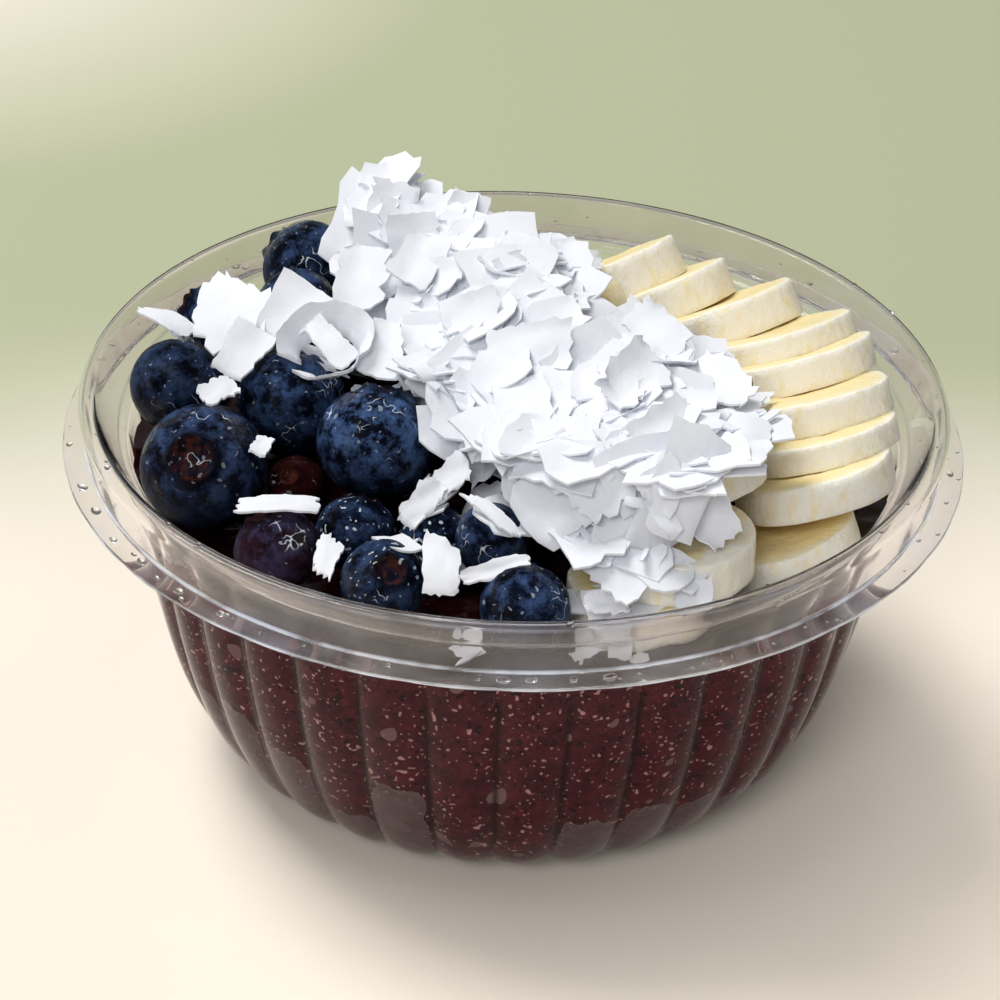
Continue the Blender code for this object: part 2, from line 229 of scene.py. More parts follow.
def makeStage():
    bm = bmesh.new()
    bmesh.ops.create_grid(bm, x_segments=4, y_segments=4, size=6.0)
    mesh = bpy.data.meshes.new("table")
    bm.to_mesh(mesh)
    bm.free()
    material, tree, shader = newMaterial("tableTop", Roughness=0.75)
    shader.inputs["Specular IOR Level"].default_value = 0.25
    spot = where(tree)
    parts = addNode(tree, "SeparateXYZ", {"Vector": spot})
    drift = cloud(tree, spot, 160, 1.0)
    along = calc(tree, "ADD", parts.outputs["Y"], calc(tree, "MULTIPLY", calc(tree, "SUBTRACT", drift, 0.5), 0.09))
    back = addNode(tree, "MapRange", {"Value": along}, interpolation_type="SMOOTHERSTEP")
    back.inputs["From Min"].default_value = stageLook["fadeFrom"] * mm
    back.inputs["From Max"].default_value = stageLook["fadeTo"] * mm
    glow = addNode(tree, "VectorMath", {0: spot}, operation="DISTANCE")
    glow.inputs[1].default_value = (*stageLook["glow"], 0)
    far = ramp(tree, glow.outputs["Value"], (0.02, 0.15), (0.17, 1.0))
    colour = mix(tree, calc(tree, "MULTIPLY", back.outputs["Result"], far), stageLook["cream"], stageLook["sage"])
    tree.links.new(colour, shader.inputs["Base Color"])
    mesh.materials.append(material)
    table = bpy.data.objects.new("table", mesh)
    table.location = (0, 0, -0.0002)
    bpy.context.scene.collection.objects.link(table)


lamps = {                  # place, aim, size in metres, power, colour
    "key": ((-0.90, 0.75, 1.95), (0, 0, 0.05), 1.05, 38.5, (1.0, 0.985, 0.96)),
    "front": ((-0.50, -1.60, 1.50), (0, 0, 0.05), 1.00, 16.5, (1.0, 0.99, 0.98)),
    "glint": ((-0.42, -0.30, 1.50), (0, 0, 0.06), 0.20, 0.6, (1.0, 1.0, 1.0)),
}


def makeLights():
    for name, (place, aim, size, power, colour) in lamps.items():
        lamp = bpy.data.lights.new(name, "AREA")
        lamp.shape = "DISK"
        lamp.size = size
        lamp.energy = power
        lamp.color = colour
        holder = bpy.data.objects.new(name, lamp)
        holder.location = place
        holder.rotation_euler = (Vector(aim) - Vector(place)).to_track_quat("-Z", "Y").to_euler()
        holder.visible_glossy = name == "glint"
        holder.visible_transmission = name != "front"
        bpy.context.scene.collection.objects.link(holder)
    world = bpy.data.worlds.new("studio")
    world.use_nodes = True
    world.node_tree.nodes["Background"].inputs["Color"].default_value = (1.0, 0.985, 0.955, 1)
    world.node_tree.nodes["Background"].inputs["Strength"].default_value = 0.315
    bpy.context.scene.world = world
    bpy.context.scene.view_settings.view_transform = "Standard"


# the cup, with the same main sizes as its solid
cup = {
    "height": 68.8, "rimOuter": 75.0, "rimInner": 71.5, "skirtRoot": 73.7,
    "flangeOuter": 78.0, "flangeHeight": 60.0, "ledgeRadius": 68.2, "ledgeHeight": 61.6,
    "bodyRadius": 67.3, "baseRadius": 41.9, "wall": 0.6,
    "flutes": 35, "fluteTurn": 1.7, "fluteDepth": 1.3, "fluteFade": 0.1,
    "stepsPerFlute": 12,
}


def bodyPoint(t, inset=0.0):
    corners = [(cup["bodyRadius"], cup["flangeHeight"]), (cup["bodyRadius"] - 2.7, cup["flangeHeight"] - 26.0),
               (cup["baseRadius"] + 19.1, 0.0), (cup["baseRadius"], 0.0)]
    weights = [(1 - t) ** 3, 3 * (1 - t) ** 2 * t, 3 * (1 - t) * t ** 2, t ** 3]
    radius = sum(w * c[0] for w, c in zip(weights, corners))
    height = sum(w * c[1] for w, c in zip(weights, corners))
    slopes = [3 * (1 - t) ** 2, 6 * (1 - t) * t, 3 * t ** 2]
    along = [sum(s * (b[k] - a[k]) for s, a, b in zip(slopes, corners, corners[1:])) for k in (0, 1)]
    length = math.hypot(*along)
    return radius + inset * along[1] / length, height - inset * along[0] / length


def bodySide(steps, inset=0.0):
    return [bodyPoint(i / steps, inset) for i in range(steps + 1)]


# where on the side of the body a height is, from the rim 0 to the base 1
def bodyShare(height, inset=0.0):
    key = round(height, 2), inset
    if key not in shares:
        low, high = 0.0, 1.0
        for _ in range(24):
            t = (low + high) / 2
            if bodyPoint(t, inset)[1] > height:
                low = t
            else:
                high = t
        shares[key] = low
    return shares[key]


shares = {}


# how far the wall lies inside the crests at an angle
def fluteIn(angle, share):
    turn = (math.degrees(angle) - cup["fluteTurn"]) * cup["flutes"] / 360
    phase = abs(2 * (turn % 1) - 1)
    return cup["fluteDepth"] * phase ** 2.2 * min(1.0, cup["fluteFade"] + 6 * share)


# presses the flutes into a spun body
def fluteMesh(bm, inset):
    top = bodyPoint(0, inset)[1]
    for vert in bm.verts:
        reach = math.hypot(vert.co.x, vert.co.y)
        if vert.co.z > top + 0.4 or reach < 1:
            continue
        share = bodyShare(vert.co.z, inset)
        fade = smoothStep(cup["baseRadius"] - 8, cup["baseRadius"] + 1, reach)
        edge = 1 - smoothStep(top - 0.6, top + 0.4, vert.co.z)
        depth = fluteIn(math.atan2(vert.co.y, vert.co.x), share) * fade * max(edge, 0.0)
        vert.co.x *= 1 - depth / reach
        vert.co.y *= 1 - depth / reach


# rounds the corners of an open profile
def softCorners(points, cut, steps=3):
    out = [points[0]]
    for before, here, after in zip(points, points[1:], points[2:]):
        a, b, c = Vector(before), Vector(here), Vector(after)
        reach = min(cut, 0.45 * (a - b).length, 0.45 * (c - b).length)
        start, end = b + (a - b).normalized() * reach, b + (c - b).normalized() * reach
        for k in range(steps + 1):
            t = k / steps
            out.append(tuple((1 - t) ** 2 * start + 2 * t * (1 - t) * b + t * t * end))
    return out + [points[-1]]


def makeCup():
    wall = cup["wall"]
    outside = list(reversed(bodySide(26)))
    inside = bodySide(26, wall)
    over = softCorners([
        outside[-1],
        (cup["ledgeRadius"] + wall, cup["ledgeHeight"] - wall),
        (cup["rimInner"] + wall, cup["height"] - 1.7),
        (cup["rimInner"] + 1.2, cup["height"] - wall),
        (cup["rimOuter"] - 1.2, cup["height"] - wall),
        (cup["rimOuter"] - wall, cup["height"] - 1.7),
        (cup["skirtRoot"] - wall, cup["flangeHeight"] - wall),
        (cup["flangeOuter"], cup["flangeHeight"] - wall),
        (cup["flangeOuter"] - 0.05, cup["flangeHeight"]),
        (cup["skirtRoot"], cup["flangeHeight"]),
        (cup["rimOuter"], cup["height"] - 1.4),
        (cup["rimOuter"] - 0.9, cup["height"]),
        (cup["rimInner"] + 0.9, cup["height"]),
        (cup["rimInner"], cup["height"] - 1.4),
        (cup["ledgeRadius"] + 0.4, cup["ledgeHeight"] + 0.9),
        (cup["ledgeRadius"], cup["ledgeHeight"]),
        inside[0],
    ], 0.7)
    points = [(0, 0)] + [(cup["baseRadius"] * k / 6, 0) for k in range(1, 6)] + outside[:-1] + over
    points += inside[1:] + [(inside[-1][0] * k / 6, wall) for k in range(5, 0, -1)] + [(0, wall)]
    bm = spinProfile(points, cup["stepsPerFlute"], cup["flutes"])
    fluteMesh(bm, 0.0)
    # gleam marks where a highlight is painted along the rim's edges; haze marks where the plastic is cloudy
    gleam = bm.verts.layers.float.new("gleam")
    haze = bm.verts.layers.float.new("haze")
    for vert in bm.verts:
        reach, high = math.hypot(vert.co.x, vert.co.y), vert.co.z
        vert[gleam] = max(power * math.exp(-((reach - r) ** 2 + (high - z) ** 2) / wide ** 2)
                          for r, z, power, wide in cupEdges)
        vert[haze] = smoothStep(50, 57, high)
    for face in bm.faces:
        face.material_index = 1 if face.calc_center_median().z > cup["flangeHeight"] - 1.0 else 0
    shell = settle("bowlShell", bm, clearPlastic("bodyPlastic", 1.22, (0.985, 0.975, 0.965)), ["bowl"], smooth=60)
    shell.data.materials.append(clearPlastic("rimPlastic", 1.36, (0.955, 0.925, 0.925)))
    return shell


# edges of the rim where a highlight is painted in: distance from the axis, height, strength, width
cupEdges = [(72.0, 68.6, 0.5, 0.25), (74.7, 68.4, 0.8, 0.3), (73.9, 60.2, 0.85, 0.35), (78.0, 59.7, 0.9, 0.3),
            (68.5, 62.1, 0.45, 0.3)]


def clearPlastic(name, bend, colour):
    material, tree, shader = newMaterial(name, Roughness=0.03, IOR=bend)
    shader.inputs["Base Color"].default_value = (*colour, 1)
    shader.inputs["Transmission Weight"].default_value = 1.0
    spot = where(tree)
    smooth = ramp(tree, cloud(tree, spot, 22, 1.0), (0.45, 0.015), (0.75, 0.06))
    tree.links.new(smooth, shader.inputs["Roughness"])
    wave = cloud(tree, where(tree, (1, 1, 0.35)), 9, 1.0)
    tree.links.new(bump(tree, wave, 0.12, 0.15), shader.inputs["Normal"])
    film = addNode(tree, "BsdfPrincipled", Roughness=0.25)
    tint = ramp(tree, cloud(tree, spot, 14, 0.0), (0.40, (0.66, 0.60, 0.56)), (0.62, (0.62, 0.63, 0.72)))
    gleam = addNode(tree, "Attribute", attribute_name="gleam", attribute_type="GEOMETRY").outputs["Fac"]
    haze = addNode(tree, "Attribute", attribute_name="haze", attribute_type="GEOMETRY").outputs["Fac"]
    # the film shows cloudy plastic where haze is, and a painted highlight, pale bluish and in streaks, where gleam is
    tree.links.new(mix(tree, gleam, tint, (0.80, 0.87, 1.0)), film.inputs["Base Color"])
    streak = ramp(tree, cloud(tree, spot, 9, 2.0, 0.7), (0.34, 0.3), (0.56, 1.0))
    cloudy = ramp(tree, cloud(tree, spot, 18, 2.0, 0.6), (0.46, 0.0), (0.70, 0.04))
    share = calc(tree, "MAXIMUM", calc(tree, "MULTIPLY", gleam, streak), calc(tree, "MULTIPLY", haze, cloudy))
    coat = addNode(tree, "MixShader", {"Fac": share})
    tree.links.new(shader.outputs["BSDF"], coat.inputs[1])
    tree.links.new(film.outputs["BSDF"], coat.inputs[2])
    passLight(tree, coat)
    return material


# lets light through a clear material without a hard shadow
def passLight(tree, shader):
    look = shader.outputs[0]
    path = addNode(tree, "LightPath")
    clear = addNode(tree, "BsdfTransparent")
    clear.inputs["Color"].default_value = (0.93, 0.93, 0.925, 1)
    blend = addNode(tree, "MixShader", {"Fac": path.outputs["Is Shadow Ray"]})
    tree.links.new(look, blend.inputs[1])
    tree.links.new(clear.outputs["BSDF"], blend.inputs[2])
    tree.links.new(blend.outputs["Shader"], tree.nodes["Material Output"].inputs["Surface"])


# the acai, which reaches just into the wall
acai = {
    "inset": 0.45,
    "topRings": 46,
    "lump": 0.9,           # height of the soft lumps on top
    "level": 53.0,
}


def makeAcai():
    inset = acai["inset"]
    solid = nodeTree("acai")
    top = acai["level"]
    start = bodyShare(top, inset)
    side = [bodyPoint(start + (1 - start) * k / 30, inset) for k in range(31)]
    rings = acai["topRings"]
    points = [(side[0][0] * k / rings, top + 8) for k in range(rings)]
    points += [(side[0][0] - 0.25, top + 8), side[0]] + side[1:]
    points += [(side[-1][0] * k / 5, side[-1][1]) for k in range(4, 0, -1)] + [(0, side[-1][1])]
    bm = spinProfile(points, cup["stepsPerFlute"], cup["flutes"])
    wet, frost, crease = [bm.verts.layers.float.new(key) for key in ("wet", "frost", "crease")]
    above = {vert for vert in bm.verts if vert.co.z > top + 4}
    low = side[-1][1]
    outer = side[0][0]
    seen = {}

    def level(x, y):
        key = round(math.degrees(math.atan2(y, x)), 2), round(math.hypot(x, y), 2)
        if key not in seen:
            reach = math.hypot(x, y)
            pull = min(1.0, (outer - 2.6) / max(reach, 1e-6))
            hit = solid.ray_cast(Vector((x * pull, y * pull, 120)), -up)
            lumps = rough3((x, y, 0), 7.0) + 0.6 * rough3((x, y, 5), 3.2)
            seen[key] = (hit[0].z if hit[0] else top) + 0.35 + acai["lump"] * max(-0.2, lumps)
        return seen[key]

    edge = {}
    for vert in above:
        vert.co.z = level(vert.co.x, vert.co.y)
        reach = math.hypot(vert.co.x, vert.co.y)
        if reach > outer - 0.5:
            edge[round(math.degrees(math.atan2(vert.co.y, vert.co.x)), 1)] = vert.co.z
    for vert in bm.verts:
        reach = math.hypot(vert.co.x, vert.co.y)
        if vert in above or vert.co.z < 40 or reach < outer - 8:
            continue
        rim = level(vert.co.x / reach * outer, vert.co.y / reach * outer)
        vert.co.z = 40 + (vert.co.z - 40) * (rim - 40) / (top - 40)
        want = bodyPoint(bodyShare(vert.co.z, inset), inset)[0]
        vert.co.x *= want / reach
        vert.co.y *= want / reach
    for vert in above:
        reach = math.hypot(vert.co.x, vert.co.y)
        if reach > outer - 0.5:
            want = bodyPoint(bodyShare(vert.co.z, inset), inset)[0] - 0.25
            vert.co.x *= want / reach
            vert.co.y *= want / reach
    for vert in bm.verts:
        reach = math.hypot(vert.co.x, vert.co.y)
        if reach < 1 or (vert in above and reach < outer - 6):
            continue
        share = bodyShare(vert.co.z, inset)
        fade = smoothStep(cup["baseRadius"] - 8, cup["baseRadius"] + 1, reach)
        inner = smoothStep(outer - 6, outer - 0.5, reach) if vert in above else 1.0
        depth = fluteIn(math.atan2(vert.co.y, vert.co.x), share) * fade * inner
        vert.co.x *= 1 - depth / reach
        vert.co.y *= 1 - depth / reach
    pitch = 360 / cup["flutes"]
    draw = random.Random(9)
    tops = {k: draw.choice((0, 0, 0, 14, 20, 26)) for k in range(cup["flutes"])}
    for angle, top in acaiFrost.items():
        tops[int((angle - cup["fluteTurn"]) % 360 // pitch)] = top
    for vert in bm.verts:
        # wet marks the top: it carries the top's shine and the painted shade among the toppings
        vert[wet] = 1.0 if vert in above else 0.0
        turn = (math.degrees(math.atan2(vert.co.y, vert.co.x)) - cup["fluteTurn"]) % 360
        top = tops[int(turn // pitch)]
        across = abs(2 * (turn / pitch % 1) - 1)
        if vert not in above:
            # painted shade: the acai's colour is darkened along the flute creases
            vert[crease] = across * smoothStep(54, 46, vert.co.z) * smoothStep(3, 12, vert.co.z)
        if vert not in above and top:
            vert[frost] = smoothStep(top + 5, top - 5, vert.co.z) * smoothStep(1.15, 0.55, across)
    bmesh.ops.recalc_face_normals(bm, faces=bm.faces)
    return settle("acaiFill", bm, acaiMaterial(), ["acai"], smooth=60)


# pale hollows between the acai and the wall: azimuth of the flute and how high they reach
acaiFrost = {-147: 26, -137: 28, -127: 24, -116: 14, -106: 25, -96: 0, -86: 0, -76: 18, -65: 19, -55: 18,
             -45: 13, -35: 0, -24: 0, -157: 0, -168: 16}


# the thin film that the acai leaves on the wall above it
smear = {"low": 50.5, "high": 60.6, "thick": 0.10}


def makeSmear():
    inset = cup["wall"] + 0.08
    start, end = bodyShare(smear["high"], inset), bodyShare(smear["low"], inset)
    points = [bodyPoint(start + (end - start) * k / 12, inset) for k in range(13)]
    bm = spinProfile(points, cup["stepsPerFlute"], cup["flutes"])
    fluteMesh(bm, inset)
    layer = bm.verts.layers.float.new("rise")
    for vert in bm.verts:
        vert[layer] = (vert.co.z - smear["low"]) / (smear["high"] - smear["low"])
    bmesh.ops.recalc_face_normals(bm, faces=bm.faces)
    bmesh.ops.solidify(bm, geom=bm.faces[:], thickness=-smear["thick"])
    settle("acaiSmear", bm, smearMaterial(), [], smooth=60)


def smearMaterial():
    material, tree, shader = newMaterial("acaiSmear", Roughness=0.4)
    shader.inputs["Specular IOR Level"].default_value = 0.1
    spot = where(tree)
    base = ramp(tree, cloud(tree, spot, 5.0, 3.0), (0.35, (0.30, 0.13, 0.13)), (0.7, (0.50, 0.34, 0.30)))
    tree.links.new(base, shader.inputs["Base Color"])
    rise = addNode(tree, "Attribute", attribute_name="rise", attribute_type="GEOMETRY").outputs["Fac"]
    ragged = calc(tree, "MULTIPLY", calc(tree, "SUBTRACT", cloud(tree, spot, 11.0, 5.0, 0.6), 0.52), 3.2)
    film = ramp(tree, calc(tree, "SUBTRACT", ragged, rise), (0.0, 0.0), (0.28, 0.55))
    clear = addNode(tree, "BsdfTransparent")
    blend = addNode(tree, "MixShader", {"Fac": film})
    tree.links.new(clear.outputs["BSDF"], blend.inputs[1])
    tree.links.new(shader.outputs["BSDF"], blend.inputs[2])
    tree.links.new(blend.outputs["Shader"], tree.nodes["Material Output"].inputs["Surface"])
    return material


# water beads on the rim, as azimuth, distance from the axis, height and size
beads = {
    "seed": 12,
    "count": 130,
    "laid": [(-90.2, 76.2, 60.3, 1.5), (-87.0, 76.0, 60.3, 1.2), (-82.2, 76.1, 60.3, 1.3), (-78.0, 76.2, 60.3, 1.6),
             (-160, 76.0, 60.3, 1.4), (-154, 75.8, 60.3, 1.7), (-147, 76.4, 60.3, 1.2), (-141, 75.6, 60.3, 1.5),
             (-133, 76.0, 60.3, 1.3), (-126, 75.8, 60.3, 1.2), (168, 76.2, 60.3, 1.6), (23, 75.7, 60.3, 1.5)],
}


def makeBeads():
    draw = random.Random(beads["seed"])
    rows = list(beads["laid"])
    for _ in range(beads["count"]):
        angle = draw.uniform(-180, 180)
        size = draw.choice((0.35, 0.45, 0.55, 0.7, 0.9, 1.2)) * draw.uniform(0.8, 1.2)
        kind = draw.random()
        if kind < 0.45:
            rows.append((angle, draw.uniform(74.6, 77.4), cup["flangeHeight"] + 0.05 * size, size))
        elif kind < 0.75:
            rows.append((angle, draw.uniform(72.6, 74.0), cup["height"] - 0.02, size * 0.8))
        else:
            rise = draw.uniform(0.25, 0.9)
            radius = cup["ledgeRadius"] + 0.4 + rise * (cup["rimInner"] - cup["ledgeRadius"] - 0.4)
            rows.append((angle, radius - 0.05, cup["ledgeHeight"] + 0.9 + rise * 4.9, size * 0.8))
    bm = bmesh.new()
    for angle, radius, height, size in rows:
        turn = math.radians(angle)
        spot = Vector((radius * math.cos(turn), radius * math.sin(turn), height))
        made = bmesh.ops.create_uvsphere(bm, u_segments=9, v_segments=6, radius=size / 2)
        stretch = draw.uniform(1.0, 1.7)
        bmesh.ops.scale(bm, vec=(1, stretch, 0.55), verts=made["verts"])
        bmesh.ops.rotate(bm, cent=(0, 0, 0), matrix=Matrix.Rotation(turn + draw.uniform(-0.7, 0.7), 3, "Z"),
                         verts=made["verts"])
        bmesh.ops.translate(bm, verts=made["verts"], vec=spot)
    material, tree, shader = newMaterial("waterBead", Roughness=0.0, IOR=1.33)
    shader.inputs["Transmission Weight"].default_value = 1.0
    tint = ramp(tree, cloud(tree, where(tree), 3.0), (0.3, (0.96, 0.97, 0.98)), (0.7, (1.0, 1.0, 1.0)))
    tree.links.new(tint, shader.inputs["Base Color"])
    passLight(tree, shader)
    settle("waterBeads", bm, material, [], smooth=80)


acaiLook = {
    "deep": (0.034, 0.003, 0.007),
    "main": (0.078, 0.0075, 0.014),
    "pale": (0.140, 0.022, 0.033),
    "speck": (0.50, 0.27, 0.25),
    "dark": (0.008, 0.001, 0.003),
    "bubble": (0.24, 0.145, 0.15),
    "frost": (0.125, 0.088, 0.090),
    "rim": (0.30, 0.24, 0.24),
    # painted shade in the flute creases
    "crease": (0.010, 0.002, 0.003),
    # painted shade: the top, lying among the toppings, is near black
    "top": (0.007, 0.001, 0.0018),
}
# specks and bubbles: size in millimetres, where the noise is cut, softness, colour, share
acaiSpecks = [
    (0.75, 0.715, 0.03, "dark", 0.9), (1.5, 0.745, 0.02, "dark", 0.8), (0.45, 0.735, 0.03, "speck", 0.75),
    (0.9, 0.775, 0.02, "speck", 0.85), (3.2, 0.765, 0.004, "bubble", 0.6), (5.5, 0.775, 0.004, "bubble", 0.55),
]


def acaiMaterial():
    material, tree, shader = newMaterial("acaiPulp", Roughness=0.42)
    shader.inputs["Specular IOR Level"].default_value = 0.0
    shader.inputs["Coat Roughness"].default_value = 0.18
    wet = addNode(tree, "Attribute", attribute_name="wet", attribute_type="GEOMETRY").outputs["Fac"]
    tree.links.new(calc(tree, "MULTIPLY", wet, 0.6), shader.inputs["Coat Weight"])
    spot = where(tree)
    base = mix(tree, ramp(tree, cloud(tree, spot, 3.5, 3.0, 0.6), (0.35, 0.0), (0.65, 1.0)),
               acaiLook["deep"], acaiLook["main"])
    base = mix(tree, ramp(tree, cloud(tree, spot, 1.1, 3.0, 0.7), (0.52, 0.0), (0.75, 0.8)), base, acaiLook["pale"])
    for number, (size, level, soft, colour, share) in enumerate(acaiSpecks):
        moved = addNode(tree, "VectorMath", {0: spot}, operation="ADD")
        moved.inputs[1].default_value = (0.013 * number, 0.007 * number, 0.011 * number)
        blot = ramp(tree, cloud(tree, moved.outputs["Vector"], size * 1.6, 0.0), (level, 0.0), (level + soft, share))
        base = mix(tree, blot, base, acaiLook[colour])
    frost = addNode(tree, "Attribute", attribute_name="frost", attribute_type="GEOMETRY").outputs["Fac"]
    ragged = calc(tree, "MULTIPLY", calc(tree, "SUBTRACT", cloud(tree, spot, 7.0, 4.0, 0.6), 0.5), 1.3)
    reach = calc(tree, "ADD", frost, ragged)
    milky = ramp(tree, reach, (0.48, 0.0), (0.49, 1.0))
    mottle = ramp(tree, cloud(tree, spot, 2.5, 3.0), (0.3, 0.55), (0.7, 0.95))
    base = mix(tree, calc(tree, "MULTIPLY", milky, mottle), base, acaiLook["frost"])
    outline = ramp(tree, reach, (0.465, 0.0), (0.485, 0.6), (0.51, 0.0))
    base = mix(tree, outline, base, acaiLook["rim"])
    # painted shade: the creases between the flutes are darkened
    crease = addNode(tree, "Attribute", attribute_name="crease", attribute_type="GEOMETRY").outputs["Fac"]
    base = mix(tree, ramp(tree, crease, (0.84, 0.0), (1.0, 0.9)), base, acaiLook["crease"])
    # painted shade: where the acai lies under the toppings its colour goes almost to black
    base = mix(tree, calc(tree, "MULTIPLY", wet, 0.96), base, acaiLook["top"])
    tree.links.new(base, shader.inputs["Base Color"])
    grain = cloud(tree, spot, 1.6, 3.0, 0.6)
    tree.links.new(bump(tree, grain, 0.2, 0.2), shader.inputs["Normal"])
    return material


# blueberries
berryShape = {
    "around": 44, "rings": 34,
    "crown": 0.36,         # width of the crown, as a share of the berry's
    "dents": 0.018,
}
berryLook = {              # bloom strength, redness, wrinkles, flecks
    "berry_02": (0.50, 0.05, 0.1, 0.1), "berry_03": (0.60, 0.0, 0.1, 0.2), "berry_04": (0.9, 0.0, 0.1, 0.1),
    "berry_09": (0.0, 1.0, 1.0, 0.0), "berry_10": (0.35, 0.55, 0.2, 0.2), "berry_13": (0.6, 0.0, 0.9, 0.3),
    "berry_01": (0.35, 0.0, 0.1, 0.1), "berry_08": (0.4, 0.0, 0.1, 1.0), "berry_11": (0.4, 0.0, 0.1, 1.0),
    "berry_12": (0.4, 0.0, 0.1, 0.8), "berry_15": (0.45, 0.0, 0.4, 1.0),
}


# centre, axis towards the crown, half width and half height of a berry's solid
def berryFrame(name):
    copy = nodeCopy(name)
    spots = [vert.co.copy() for vert in copy.verts]
    copy.free()
    middle = sum(spots, Vector()) / len(spots)
    dimple = min(spots, key=lambda p: (p - middle).length)
    axis = (dimple - middle).normalized()
    foot = min(spots, key=lambda p: p.dot(axis))
    axis = (dimple - foot).normalized()
    half = (dimple - foot).length / 1.8
    centre = foot + axis * half
    wide = max(((p - centre) - axis * (p - centre).dot(axis)).length for p in spots)
    return centre, axis, wide, half


def turnTo(axis, spin=0.0):
    return axis.to_track_quat("Z", "Y").to_matrix().to_4x4() @ Matrix.Rotation(spin, 4, "Z")


def makeBerry(name, number):
    centre, axis, wide, half = berryFrame(name)
    key = berryLook.get(name, (0.45, 0.0, 0.1, 0.2))
    wrinkle = key[2]
    bm = bmesh.new()
    bmesh.ops.create_uvsphere(bm, u_segments=berryShape["around"], v_segments=berryShape["rings"], radius=1.0)
    draw = random.Random(300 + number)
    turn = draw.uniform(0, math.tau)
    dents = [(Vector((draw.gauss(0, 1), draw.gauss(0, 1), draw.gauss(0, 1))).normalized(), draw.uniform(0.3, 0.6))
             for _ in range(4)]
    crown = berryShape["crown"]
    for vert in bm.verts:
        polar = math.pi * (math.acos(max(-1.0, min(1.0, vert.co.z))) / math.pi) ** 1.5
        angle = math.atan2(vert.co.y, vert.co.x)
        reach, high = math.sin(polar), math.cos(polar)
        lobe = 0.5 + 0.5 * math.cos(5 * angle + turn)
        if high > 0 and reach < 0.55:
            lip = math.exp(-((reach - crown) / 0.075) ** 2)
            floor = 1 - smoothStep(crown - 0.16, crown - 0.02, reach)
            high = high * (1 - 0.02) + lip * (0.035 + 0.075 * lobe) - floor * 0.15
            reach *= 1 + lip * 0.16 * (lobe - 0.35)
        spot = Vector((reach * math.cos(angle), reach * math.sin(angle), high))
        way = spot.normalized()
        push = 1 + 0.010 * rough3(way, 0.55, number) + 0.016 * rough3(way, 1.3, number + 9)
        for dent, width in dents:
            push -= berryShape["dents"] * math.exp(-((way - dent).length / width) ** 2)
        push -= wrinkle * 0.05 * abs(rough3(way, 0.22, number + 3))
        vert.co = Vector((spot.x * wide, spot.y * wide, spot.z * half)) * push
    eye = bm.verts.layers.float.new("eye")
    for vert in bm.verts:
        flat = math.hypot(vert.co.x, vert.co.y) / wide
        vert[eye] = smoothStep(crown + 0.26, crown - 0.16, flat) if vert.co.z > 0 else 0.0
    bmesh.ops.transform(bm, matrix=Matrix.Translation(centre) @ turnTo(axis), verts=bm.verts)
    bmesh.ops.recalc_face_normals(bm, faces=bm.faces)
    # lit rises from the bottom of the berry to its top; bloom, flecks and glints are masked by it, which paints shade
    # onto the lower half
    lit = bm.verts.layers.float.new("lit")
    for vert in bm.verts:
        vert[lit] = smoothStep(-0.75, 0.75, (vert.co.z - centre.z) / half)
    if key not in berrySkins:
        berrySkins[key] = berrySkin(*key)
    settle(name.replace("_", ""), bm, berrySkins[key], [name], smooth=70)


berrySkins = {}


